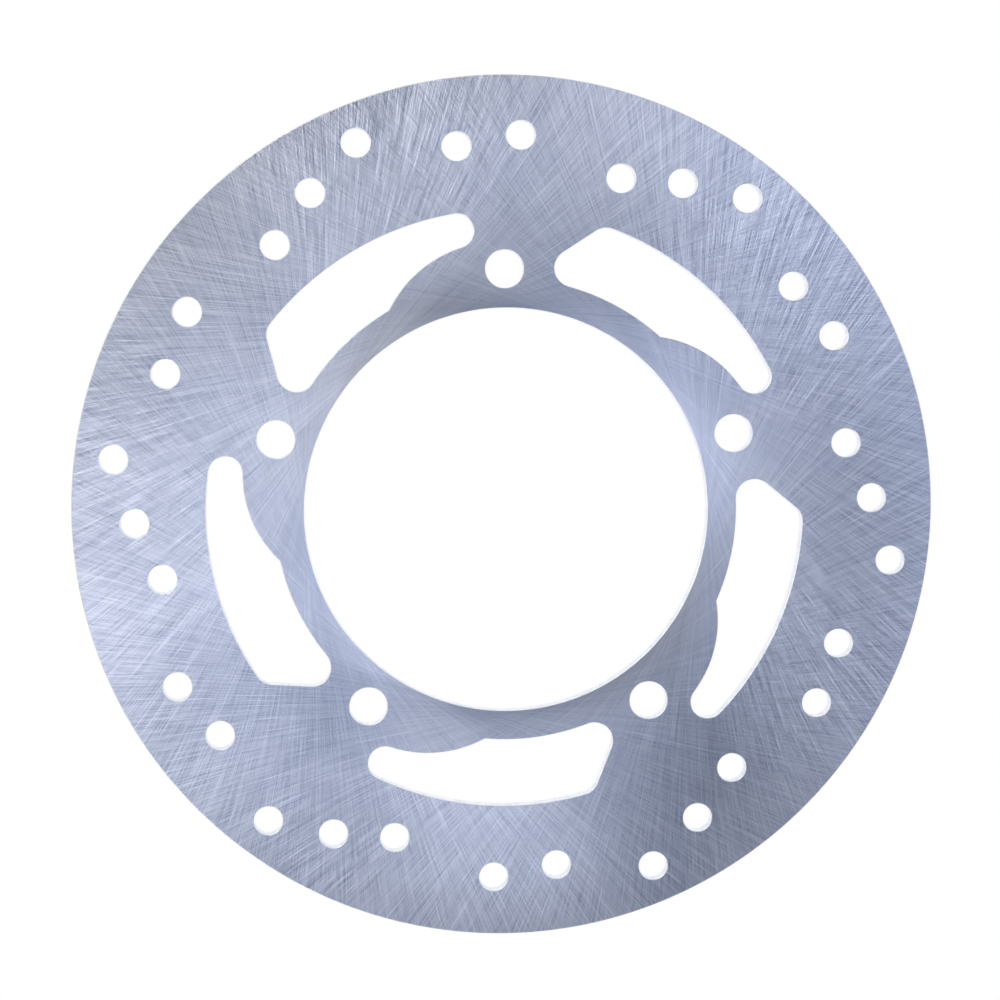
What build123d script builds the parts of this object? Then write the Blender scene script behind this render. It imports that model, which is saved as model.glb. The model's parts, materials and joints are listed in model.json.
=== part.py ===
from build123d import *
import os
from math import cos, radians, sin, sqrt

# A solid motorcycle brake disc: one flat steel plate, with a spigot bore, mounting holes,
# curved lightening windows inside the rubbing band and drilled holes across it.
# Millimetres and degrees. The origin is on the axis, in the back face, and +Z points outboard.
# Angles run anticlockwise from the +Y line, which passes through one mounting hole.

# Plate
disc_d = 240.0
bore_d = 112.5
thickness = 4.0
edge_break = 0.2          # small chamfer on every edge of both faces

# Mounting holes, clearance for M10 bolts
mount_count = 5
mount_circle_d = 134.0
mount_hole_d = 10.5

# Drilled holes: a row of three and a row of two, repeated round the rubbing band
drilled_hole_d = 8.0
drilled_repeat = 6
drilled_rows = (
    ((109.4, 21.7), (102.9, 31.1), (97.2, 40.4)),   # radius and angle of each hole
    ((103.7, 57.3), (101.4, 67.3)),
)

# Lightening windows, one anticlockwise of each mounting hole
window_outer_r = 83.3     # outer edge, about the disc's axis
window_inner_r = 64.5     # inner edge of the wide half, about the disc's axis
round_end_r = 4.7         # narrow end beside the mounting hole
round_end_angle = 9.6
boss_arc_r = 33.5         # scallop that leaves metal round the mounting hole
boss_arc_lean = 16.65     # direction from the scallop's centre to the round end's centre
side_offset = 51.6        # straight side at the wide end: its distance from the axis
side_angle = 104.3        # and the direction of its normal
side_corner_r = 5.2
kink_r = 1.0              # where the scallop leaves the inner edge


def polar(radius, angle):
    """The point at a radius and an angle from the +Y line."""
    return Vector(-radius * sin(radians(angle)), radius * cos(radians(angle)))


def arc(centre, start, end):
    """The shorter arc about a centre from one point to another."""
    middle = (start - centre).normalized() + (end - centre).normalized()
    return ThreePointArc(start, centre + middle.normalized() * (start - centre).length, end)


def side_point(radius):
    """Where the window's straight side crosses a circle about the disc's axis."""
    along = sqrt(radius**2 - side_offset**2)
    return polar(side_offset, side_angle) + polar(along, side_angle - 90)


def kink_point(boss_centre):
    """Where the scallop's circle crosses the window's inner edge, on the wide side."""
    reach = boss_centre.length
    along = (window_inner_r**2 - boss_arc_r**2 + reach**2) / (2 * reach)
    across = sqrt(window_inner_r**2 - along**2)
    outward = boss_centre.normalized()
    return outward * along + outward.rotate(Axis.Z, 90) * across


def window():
    """The outline of the window beside the mounting hole on +Y, with its corners rounded."""
    axis = Vector(0, 0)
    end_centre = polar(window_outer_r - round_end_r, round_end_angle)
    boss_centre = end_centre - polar(boss_arc_r + round_end_r, boss_arc_lean)
    end_outer = polar(window_outer_r, round_end_angle)
    end_inner = boss_centre + polar(boss_arc_r, boss_arc_lean)
    side_outer = side_point(window_outer_r)
    side_inner = side_point(window_inner_r)
    kink = kink_point(boss_centre)
    outline = Curve() + [
        arc(axis, end_outer, side_outer),
        Line(side_outer, side_inner),
        arc(axis, side_inner, kink),
        arc(boss_centre, kink, end_inner),
        arc(end_centre, end_inner, end_outer),
    ]
    face = make_face(outline)
    for corner, radius in ((side_outer, side_corner_r), (side_inner, side_corner_r), (kink, kink_r)):
        face = fillet(face.vertices().sort_by_distance(corner)[0], radius)
    return face


def disc():
    """The finished plate."""
    face = Circle(disc_d / 2) - Circle(bore_d / 2)
    face -= PolarLocations(mount_circle_d / 2, mount_count, start_angle=90) * Circle(mount_hole_d / 2)
    face -= PolarLocations(0, mount_count) * window()
    for row in drilled_rows:
        for radius, angle in row:
            holes = PolarLocations(radius, drilled_repeat, start_angle=90 + angle)
            face -= holes * Circle(drilled_hole_d / 2)
    plate = extrude(face, thickness)
    rims = plate.faces().sort_by(Axis.Z)[0].edges() + plate.faces().sort_by(Axis.Z)[-1].edges()
    return chamfer(rims, edge_break)


os.makedirs("parts", exist_ok=True)
export_step(disc(), "parts/brake_disc.step")
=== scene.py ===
"""Looks of the brake disc: a finely ground steel plate, seen on a plain white sweep."""
import json
import math

import bmesh
import bpy
from mathutils import Matrix, Vector


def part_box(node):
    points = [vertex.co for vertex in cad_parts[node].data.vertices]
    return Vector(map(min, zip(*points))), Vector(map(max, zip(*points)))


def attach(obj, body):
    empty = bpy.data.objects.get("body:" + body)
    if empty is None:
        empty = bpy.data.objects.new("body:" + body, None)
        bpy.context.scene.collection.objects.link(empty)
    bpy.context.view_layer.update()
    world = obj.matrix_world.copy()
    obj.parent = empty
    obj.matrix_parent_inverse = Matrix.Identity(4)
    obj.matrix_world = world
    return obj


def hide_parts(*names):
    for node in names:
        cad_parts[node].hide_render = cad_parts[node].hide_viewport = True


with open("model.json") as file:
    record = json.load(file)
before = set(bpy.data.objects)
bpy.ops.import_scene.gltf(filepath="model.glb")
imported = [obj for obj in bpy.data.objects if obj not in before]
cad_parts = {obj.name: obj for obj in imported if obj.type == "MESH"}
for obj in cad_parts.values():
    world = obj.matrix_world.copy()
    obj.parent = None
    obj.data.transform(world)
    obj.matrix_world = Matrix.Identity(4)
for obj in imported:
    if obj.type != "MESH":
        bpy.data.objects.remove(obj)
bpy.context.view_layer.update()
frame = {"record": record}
MM = 0.001

# ---------------------------------------------------------------- sizes, in metres

NODE = "brake_disc"
low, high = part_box(NODE)
mounts = {m["name"]: m["dims"] for m in frame["record"]["mounts"]}
Z_BACK, Z_FRONT = low.z, high.z
DISC_R = 120 * MM
BORE_R = mounts["bore"]["r_mm"] * MM
MOUNT_CIRCLE_R = mounts["bolt_circle"]["pcd_mm"] / 2 * MM
MOUNT_HOLE_R = mounts["bolt_circle"]["hole_r_mm"] * MM
MOUNT_COUNT = mounts["bolt_circle"]["count"]
EDGE_R = 0.2 * MM            # rounded edge break along every outline
EDGE_STEPS = 3
CHORD_ERROR = 0.004 * MM     # how far a chord may leave its arc
WALL_FOLD = 3.2 * MM         # width of a folded-out wall in the UV map
MAP_HALF = 124 * MM          # half the side of the square that the UV map shows
UV_MAP = "OFBake"            # the plate's UV map

DRILLED_R = 4 * MM
DRILLED_REPEAT = 6
DRILLED = ((109.4, 21.7), (102.9, 31.1), (97.2, 40.4), (103.7, 57.3), (101.4, 67.3))

WINDOW_OUTER_R, WINDOW_INNER_R = 83.3 * MM, 64.5 * MM
ROUND_END_R, ROUND_END_ANGLE = 4.7 * MM, 9.6
BOSS_ARC_R, BOSS_ARC_LEAN = 33.5 * MM, 16.65
SIDE_OFFSET, SIDE_ANGLE = 51.6 * MM, 104.3
SIDE_CORNER_R, KINK_R = 5.2 * MM, 1 * MM

# ---------------------------------------------------------------- outlines

# An outline is a closed list of (point, normal): the point on the wall, and the unit normal
# that points into the metal. Angles run anticlockwise from +Y.


def polar(radius, degrees):
    a = math.radians(degrees)
    return Vector((-radius * math.sin(a), radius * math.cos(a)))


def angle_of(v):
    return math.degrees(math.atan2(-v.x, v.y))


def arc(centre, radius, start, end, inward=False):
    """Points of an arc from one angle to another, the short way round.

    The metal is outside the arc, or inside it if inward."""
    turn = (end - start + 180) % 360 - 180
    step = 2 * math.degrees(math.acos(1 - CHORD_ERROR / radius))
    count = max(1, math.ceil(abs(turn) / step))
    rays = [polar(1, start + turn * i / count) for i in range(count + 1)]
    return [(centre + ray * radius, -ray if inward else ray) for ray in rays]


def circle(centre, radius, inward=False):
    quarters = [arc(centre, radius, a, a + 90, inward)[:-1] for a in (0, 90, 180, 270)]
    return [p for quarter in quarters for p in quarter]


def meeting(a, radius_a, b, radius_b):
    """Where two circles cross, on the left of the line from a to b."""
    reach = (b - a).length
    along = (radius_a**2 - radius_b**2 + reach**2) / (2 * reach)
    across = math.sqrt(radius_a**2 - along**2)
    ahead = (b - a) / reach
    return a + ahead * along + Vector((-ahead.y, ahead.x)) * across


def side_corner(radius):
    """Centre of a corner arc that touches the straight side, at this distance from the axis."""
    offset = SIDE_OFFSET - SIDE_CORNER_R
    return polar(offset, SIDE_ANGLE) + polar(math.sqrt(radius**2 - offset**2), SIDE_ANGLE - 90)


def window():
    """The window beside the mounting hole on +Y, anticlockwise from its narrow end."""
    axis = Vector((0, 0))
    end = polar(WINDOW_OUTER_R - ROUND_END_R, ROUND_END_ANGLE)
    boss = end - polar(BOSS_ARC_R + ROUND_END_R, BOSS_ARC_LEAN)
    outer = side_corner(WINDOW_OUTER_R - SIDE_CORNER_R)
    inner = side_corner(WINDOW_INNER_R + SIDE_CORNER_R)
    kink = meeting(axis, WINDOW_INNER_R + KINK_R, boss, BOSS_ARC_R + KINK_R)
    to_boss = angle_of(boss - kink)
    stretches = (
        arc(axis, WINDOW_OUTER_R, ROUND_END_ANGLE, angle_of(outer)),
        arc(outer, SIDE_CORNER_R, angle_of(outer), SIDE_ANGLE),
        arc(inner, SIDE_CORNER_R, SIDE_ANGLE, angle_of(-inner)),
        arc(axis, WINDOW_INNER_R, angle_of(inner), angle_of(kink), inward=True),
        arc(kink, KINK_R, angle_of(-kink), to_boss),
        arc(boss, BOSS_ARC_R, angle_of(kink - boss), BOSS_ARC_LEAN, inward=True),
        arc(end, ROUND_END_R, BOSS_ARC_LEAN + 180, ROUND_END_ANGLE),
    )
    return [p for stretch in stretches for p in stretch[:-1]]


def turned(outline, degrees):
    turn = Matrix.Rotation(math.radians(degrees), 2)
    return [(turn @ p, turn @ n) for p, n in outline]


def outlines():
    """Every outline of the plate: rim, bore, mounting holes, windows and drilled holes."""
    axis = Vector((0, 0))
    found = [circle(axis, DISC_R, inward=True), circle(axis, BORE_R)]
    for k in range(MOUNT_COUNT):
        degrees = 360 / MOUNT_COUNT * k
        found.append(circle(polar(MOUNT_CIRCLE_R, degrees), MOUNT_HOLE_R))
        found.append(turned(window(), degrees))
    for k in range(DRILLED_REPEAT):
        for radius, degrees in DRILLED:
            found.append(circle(polar(radius * MM, degrees + 360 / DRILLED_REPEAT * k), DRILLED_R))
    return found


# ---------------------------------------------------------------- mesh


def edge_profile():
    """(distance into the metal, height) down a wall, from the front face to the back face."""
    quarter = [math.radians(90 * i / EDGE_STEPS) for i in range(EDGE_STEPS + 1)]
    front = [(EDGE_R * (1 - math.sin(a)), Z_FRONT - EDGE_R * (1 - math.cos(a))) for a in quarter]
    back = [(inset, Z_BACK + Z_FRONT - z) for inset, z in reversed(front)]
    return front + back


def plate_mesh():
    """The plate as one closed mesh. Material 0 is the two ground faces, and 1 the walls and edge breaks.

    In its UV map both faces lie flat on the same place, since their pattern is the same, and each wall is
    folded out flat into the empty space beside it."""
    bm = bmesh.new()
    profile = edge_profile()
    folded = [EDGE_R - WALL_FOLD * k / (len(profile) - 1) for k in range(len(profile))]
    wall_place = {}
    rims = ([], [])
    for outline in outlines():
        rings = []
        for (inset, z), fold in zip(profile, folded):
            ring = [bm.verts.new((*(p + n * inset), z)) for p, n in outline]
            wall_place.update((v, p + n * fold) for v, (p, n) in zip(ring, outline))
            rings.append(ring)
        count = len(outline)
        for upper, lower in zip(rings, rings[1:]):
            for i in range(count):
                j = (i + 1) % count
                face = bm.faces.new((upper[i], lower[i], lower[j], upper[j]))
                face.material_index = 1
                face.smooth = True
        for side, ring in ((0, rings[0]), (1, rings[-1])):
            for i in range(count):
                edge = bm.edges.get((ring[i], ring[(i + 1) % count]))
                edge.smooth = False
                rims[side].append(edge)
    for edges in rims:
        bmesh.ops.triangle_fill(bm, edges=edges, normal=(0, 0, 1))
    bmesh.ops.recalc_face_normals(bm, faces=bm.faces)
    uv = bm.loops.layers.uv.new(UV_MAP)
    middle = Vector((0.5, 0.5))
    for face in bm.faces:
        for loop in face.loops:
            place = wall_place[loop.vert] if face.material_index else loop.vert.co.xy
            loop[uv].uv = middle + place / (2 * MAP_HALF)
    mesh = bpy.data.meshes.new("ground_plate")
    bm.to_mesh(mesh)
    bm.free()
    return mesh


# ---------------------------------------------------------------- materials


class Graph:
    """Short calls that add nodes to a node tree and link them."""

    def __init__(self, tree):
        self.tree = tree

    def node(self, kind, inputs=(), **settings):
        node = self.tree.nodes.new(kind)
        for name, value in settings.items():
            setattr(node, name, value)
        for name, value in dict(inputs).items():
            self.put(node.inputs[name], value)
        return node

    def put(self, socket, value):
        if isinstance(value, bpy.types.NodeSocket):
            self.tree.links.new(value, socket)
        else:
            socket.default_value = value

    def math(self, operation, a, b=0.0, c=0.0):
        node = self.node("ShaderNodeMath", operation=operation)
        for socket, value in zip(node.inputs, (a, b, c)):
            self.put(socket, value)
        return node.outputs[0]

    def vector(self, operation, a, b=(0, 0, 0)):
        node = self.node("ShaderNodeVectorMath", operation=operation)
        self.put(node.inputs[0], a)
        self.put(node.inputs[1], b)
        return node.outputs["Value" if operation in ("LENGTH", "DOT_PRODUCT") else "Vector"]

    def scaled(self, vector, by):
        node = self.node("ShaderNodeVectorMath", operation="SCALE")
        self.put(node.inputs[0], vector)
        self.put(node.inputs["Scale"], by)
        return node.outputs["Vector"]

    def join(self, x, y, z=0.0):
        return self.node("ShaderNodeCombineXYZ", {"X": x, "Y": y, "Z": z}).outputs[0]

    def span(self, value, low, high, to_low=0.0, to_high=1.0, smooth=False):
        """value moved from one range to another, held at its ends."""
        node = self.node("ShaderNodeMapRange", clamp=True)
        node.interpolation_type = "SMOOTHSTEP" if smooth else "LINEAR"
        inputs = {"Value": value, "From Min": low, "From Max": high, "To Min": to_low, "To Max": to_high}
        for name, item in inputs.items():
            self.put(node.inputs[name], item)
        return node.outputs["Result"]

    def noise(self, place, scale, detail=2.0, roughness=0.5):
        inputs = {"Vector": place, "Scale": scale, "Detail": detail, "Roughness": roughness}
        return self.node("ShaderNodeTexNoise", inputs).outputs["Fac"]

    def blend(self, factor, a, b, kind="VECTOR"):
        node = self.node("ShaderNodeMix", data_type=kind)
        wanted = [i for i in node.inputs if i.enabled]
        for socket, value in zip(wanted, (factor, a, b)):
            self.put(socket, value)
        return next(o for o in node.outputs if o.enabled)


def new_material(name):
    """An empty material with its output, and the graph that fills it."""
    material = bpy.data.materials.new(name)
    material.use_nodes = True
    graph = Graph(material.node_tree)
    graph.tree.nodes.clear()
    return material, graph


WHEEL_R = 600 * MM                 # radius of the grinding wheel whose rim draws each mark
LINE_TURNS = 1500.0                # fine marks in one radian of wheel centres
BAND_TURNS = 70.0                  # broader bands of marks in one radian
SCRATCH_TURNS = 170.0              # places for a single deep scratch in one radian
GRAIN_TURNS = 2600.0               # the finest marks, too fine to see one by one, in one radian
LINE_GAIN, BAND_GAIN = 8.8, 0.3    # how strongly a fine mark or a band changes the brightness
SCRATCH_GAIN = 0.8                 # how much brighter a deep scratch is
SCRATCH_FROM, SCRATCH_FULL = 0.66, 0.74    # noise level where a deep scratch starts, and where it is full
MARK_RUN = 0.05                    # how fast a mark changes along the radius, beside round the disc
SCRATCH_RUN = 5.0                  # how much faster than that a deep scratch ends
SET_SHIFT = 0.2                    # keeps the two sets' patterns apart
BAND_SHIFT = (3.1, 1.7, 0.4)       # keep the bands and the grain apart from the fine marks
GRAIN_SHIFT = (1.9, 0.8, 0.5)
CHANGEOVER = 0.01                  # how softly one set gives way to the other
DARK_MARK = (0.27, 0.30, 0.435, 1)
BRIGHT_MARK = (0.885, 0.89, 0.98, 1)
DARK_ROUGHNESS, BRIGHT_ROUGHNESS = 0.34, 0.28
MARK_DEPTH = 0.02 * MM


def grinding(g, place, radius, bearing, side):
    """One set of arc marks, which all just touch the bore's edge.

    Every mark is a stretch of a wheel-sized circle, and is named by the direction of that circle's centre
    from the disc's axis. Returns the in-plane direction across the mark, and coordinates that change fast
    across the marks and slowly along them."""
    reach = WHEEL_R + BORE_R
    square = g.math("MULTIPLY_ADD", radius, radius, reach**2 - WHEEL_R**2)
    cosine = g.math("DIVIDE", square, g.math("MULTIPLY", radius, 2 * reach))
    swing = g.math("MULTIPLY", g.math("ARCCOSINE", g.math("MINIMUM", cosine, 1.0)), side)
    name = g.math("ADD", bearing, swing)
    ray = g.join(g.math("COSINE", name), g.math("SINE", name))
    across = g.vector("NORMALIZE", g.vector("SUBTRACT", place, g.scaled(ray, reach)))
    run = g.join(0.0, 0.0, g.math("MULTIPLY_ADD", radius, MARK_RUN, side * SET_SHIFT))
    return across, g.vector("ADD", ray, run)


def mark_pattern(g, where):
    """How bright the marks of one set are, how high they stand, and how strongly the set leads at a spot."""
    line = g.noise(where, LINE_TURNS, 2.0, 0.5)
    band = g.noise(g.vector("ADD", where, BAND_SHIFT), BAND_TURNS, 2.0, 0.6)
    grain = g.noise(g.vector("ADD", where, GRAIN_SHIFT), GRAIN_TURNS, 1.0)
    rare = g.noise(g.vector("MULTIPLY", where, (1, 1, SCRATCH_RUN)), SCRATCH_TURNS, 0.0)
    scratch = g.span(rare, SCRATCH_FROM, SCRATCH_FULL)
    fine = g.math("MULTIPLY_ADD", line, LINE_GAIN, 0.5 - LINE_GAIN / 2)
    broad = g.math("MULTIPLY_ADD", band, BAND_GAIN, -BAND_GAIN / 2)
    tone = g.math("ADD", g.math("ADD", fine, broad), g.math("MULTIPLY", scratch, SCRATCH_GAIN))
    height = g.math("MULTIPLY_ADD", scratch, 0.5, line)
    lead = g.math("MULTIPLY_ADD", line, 0.5, grain)
    return tone, height, lead


def ground_face():
    """Rotary-ground steel: two crossing sets of fine arc marks, each as shiny as a brushed surface.

    A spot shines as one set or the other does, so the set that catches the light shows its marks best."""
    material, g = new_material("ground_steel")
    output = g.node("ShaderNodeOutputMaterial")
    place = g.node("ShaderNodeTexCoord").outputs["Object"]
    part = g.node("ShaderNodeSeparateXYZ", {0: place}).outputs
    flat = g.join(part["X"], part["Y"])
    radius = g.vector("LENGTH", flat)
    bearing = g.math("ARCTAN2", part["Y"], part["X"])
    sets = [grinding(g, flat, radius, bearing, side) for side in (1.0, -1.0)]
    marks = [mark_pattern(g, where) for _, where in sets]
    ahead = g.math("SUBTRACT", *(lead for _, _, lead in marks))
    choice = g.span(ahead, -CHANGEOVER, CHANGEOVER)
    across = g.vector("NORMALIZE", g.blend(choice, sets[1][0], sets[0][0]))
    tone = g.blend(choice, marks[1][0], marks[0][0], "FLOAT")
    colour = g.blend(tone, DARK_MARK, BRIGHT_MARK, "RGBA")
    roughness = g.span(tone, 0.0, 1.0, DARK_ROUGHNESS, BRIGHT_ROUGHNESS)
    relief = g.math("ADD", *(height for _, height, _ in marks))
    bump = g.node("ShaderNodeBump", {"Strength": 0.15, "Distance": MARK_DEPTH, "Height": relief})
    shader = g.node("ShaderNodeBsdfPrincipled", {
        "Base Color": colour, "Metallic": 1.0, "Roughness": roughness, "Anisotropic": 1.0,
        "Tangent": across, "Normal": bump.outputs[0]})
    g.put(output.inputs["Surface"], shader.outputs[0])
    return material


STREAK_SIZE, PATCH_SIZE = 2500.0, 300.0    # noise scales of the cutting streaks and of broader patches
STREAK_RUN = 0.08                  # how fast a streak changes down the wall, beside round it
DARK_CUT = (0.80, 0.825, 0.89, 1)
BRIGHT_CUT = (0.94, 0.955, 0.99, 1)
DARK_CUT_ROUGHNESS, BRIGHT_CUT_ROUGHNESS = 0.5, 0.36
# Painted shade: the rim's wall is drawn at this fraction of the holes' walls' brightness.
PAINTED_RIM_SHADE = 0.5                    # how bright the rim's wall is beside the holes' walls
CUT_DEPTH = 0.03 * MM


def cut_wall():
    """Walls of the outlines: upright cutting streaks, bright in the holes, with painted shade darkening the
    rim's wall.
    """
    material, g = new_material("cut_steel")
    output = g.node("ShaderNodeOutputMaterial")
    place = g.node("ShaderNodeTexCoord").outputs["Object"]
    part = g.node("ShaderNodeSeparateXYZ", {0: place}).outputs
    flat = g.join(part["X"], part["Y"])
    drawn_out = g.join(part["X"], part["Y"], g.math("MULTIPLY", part["Z"], STREAK_RUN))
    streaks = g.noise(drawn_out, STREAK_SIZE)
    patches = g.noise(place, PATCH_SIZE)
    tone = g.span(g.math("MULTIPLY_ADD", patches, 0.5, streaks), 0.55, 0.95)
    metal = g.blend(tone, DARK_CUT, BRIGHT_CUT, "RGBA")
    roughness = g.span(tone, 0.0, 1.0, DARK_CUT_ROUGHNESS, BRIGHT_CUT_ROUGHNESS)
    # Painted shade: the rim's wall and the outer part of its edge break are darkened.
    value = g.span(g.vector("LENGTH", flat), DISC_R - EDGE_R / 2, DISC_R - EDGE_R / 10, 1.0, PAINTED_RIM_SHADE)
    colour = g.node("ShaderNodeHueSaturation", {"Value": value, "Color": metal}).outputs["Color"]
    bump = g.node("ShaderNodeBump", {"Strength": 0.25, "Distance": CUT_DEPTH, "Height": streaks})
    shader = g.node("ShaderNodeBsdfPrincipled", {
        "Base Color": colour, "Metallic": 1.0, "Roughness": roughness, "Normal": bump.outputs[0]})
    g.put(output.inputs["Surface"], shader.outputs[0])
    return material


def add_plate():
    """The disc as a piece: a finer mesh of the CAD node, with its finish."""
    mesh = plate_mesh()
    mesh.materials.append(ground_face())
    mesh.materials.append(cut_wall())
    plate = bpy.data.objects.new("ground_plate", mesh)
    bpy.context.scene.collection.objects.link(plate)
    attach(plate, "root")
    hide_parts(NODE)


add_plate()

# ---------------------------------------------------------------- camera

# Degrees: off the disc's axis, round from +Y, and about the line of sight.
TILT, BEARING, ROLL = 6.32, 40.5, 0.6
DISTANCE = 0.6367
FOCAL = 2.2867                           # focal length, in picture widths
SHIFT_X, SHIFT_Y = -0.0070, 0.0106       # in picture widths
SENSOR = 36                              # in millimetres, as Blender wants it


def add_camera():
    data = bpy.data.cameras.new("camera")
    camera = bpy.data.objects.new("camera", data)
    bpy.context.scene.collection.objects.link(camera)
    bpy.context.scene.camera = camera
    data.sensor_width = SENSOR
    data.lens = SENSOR * FOCAL
    data.shift_x, data.shift_y = SHIFT_X, SHIFT_Y
    data.clip_start, data.clip_end = 0.01, 100
    tilt = math.radians(TILT)
    back = Vector((*polar(math.sin(tilt), BEARING), math.cos(tilt)))
    roll = math.radians(ROLL)
    right = Vector((math.sin(roll), math.cos(roll), 0)).cross(back).normalized()
    camera.location = Vector((0, 0, Z_FRONT)) + back * DISTANCE
    camera.rotation_mode = "QUATERNION"
    camera.rotation_quaternion = Matrix((right, back.cross(right), back)).transposed().to_quaternion()


add_camera()

# ---------------------------------------------------------------- stage and light

# Each softbox: its angle off the disc's axis, bearing from +Y and how wide it looks from the disc, all in
# degrees; its radiance, where the white floor's is 1; and its colour.
WARM, COOL = (0.995, 1.0, 0.99), (0.88, 1.0, 1.24)
SOFTBOXES = (
    (34, 30, 24, 1.36, WARM),
    (34, 60, 24, 2.91, WARM),
    (34, 90, 24, 1.39, WARM),
    (52, 24, 26, 1.01, WARM),
    (52, 144, 26, 2.55, WARM),
    (52, 288, 26, 0.94, WARM),
    (34, 270, 24, 1.17, COOL),
    (16, 120, 20, 0.85, COOL),
    (16, 180, 20, 0.75, COOL),
    (16, 300, 20, 0.79, COOL),
)
SOFTBOX_DISTANCE = 0.7
AIR_COLOUR = (0.93, 1.0, 1.10, 1)
FLOOR_HALF = 30.0
FLOOR_GAP = 0.2 * MM                         # keeps the floor clear of the plate's back
HORIZON_LIGHT, CEILING_LIGHT = 1.0, 0.03
HORIZON_TOP, CEILING_EDGE = 0.34, 0.54       # sines of the heights between which one fades to the other


def add_floor():
    """A white floor that shines by itself, like a light table, so it shows no shadow."""
    mesh = bpy.data.meshes.new("floor")
    z = Z_BACK - FLOOR_GAP
    corners = [(x * FLOOR_HALF, y * FLOOR_HALF, z) for x, y in ((-1, -1), (1, -1), (1, 1), (-1, 1))]
    mesh.from_pydata(corners, [], [(0, 1, 2, 3)])
    material, g = new_material("white_floor")
    glow = g.node("ShaderNodeEmission", {"Color": (1, 1, 1, 1), "Strength": 1.0})
    g.put(g.node("ShaderNodeOutputMaterial").inputs["Surface"], glow.outputs[0])
    mesh.materials.append(material)
    floor = bpy.data.objects.new("floor", mesh)
    bpy.context.scene.collection.objects.link(floor)


def add_softboxes():
    aim = Vector((0, 0, Z_FRONT))
    for k, (tilt, bearing, spread, radiance, colour) in enumerate(SOFTBOXES):
        name = f"softbox_{k}"
        data = bpy.data.lights.new(name, "AREA")
        data.shape = "SQUARE"
        data.size = 2 * SOFTBOX_DISTANCE * math.tan(math.radians(spread / 2))
        data.energy = radiance * math.pi * data.size**2
        data.color = colour
        lamp = bpy.data.objects.new(name, data)
        bpy.context.scene.collection.objects.link(lamp)
        t = math.radians(tilt)
        away = Vector((*polar(math.sin(t), bearing), math.cos(t)))
        lamp.location = aim + away * SOFTBOX_DISTANCE
        lamp.rotation_mode = "QUATERNION"
        lamp.rotation_quaternion = away.to_track_quat("Z", "Y")
        lamp.visible_camera = False


def add_world():
    """White to the camera. To the steel, a pale horizon under a dim ceiling."""
    world = bpy.data.worlds.new("studio")
    bpy.context.scene.world = world
    world.use_nodes = True
    g = Graph(world.node_tree)
    g.tree.nodes.clear()
    up = g.node("ShaderNodeSeparateXYZ", {0: g.node("ShaderNodeTexCoord").outputs["Generated"]}).outputs["Z"]
    seen = g.node("ShaderNodeLightPath").outputs["Is Camera Ray"]
    dim = g.span(up, HORIZON_TOP, CEILING_EDGE, HORIZON_LIGHT, CEILING_LIGHT, smooth=True)
    colour = g.blend(seen, AIR_COLOUR, (1, 1, 1, 1), "RGBA")
    sky = g.node("ShaderNodeBackground", {"Color": colour, "Strength": g.math("MAXIMUM", seen, dim)})
    g.put(g.node("ShaderNodeOutputWorld").inputs["Surface"], sky.outputs[0])


add_floor()
add_softboxes()
add_world()
bpy.context.scene.view_settings.view_transform = "Standard"
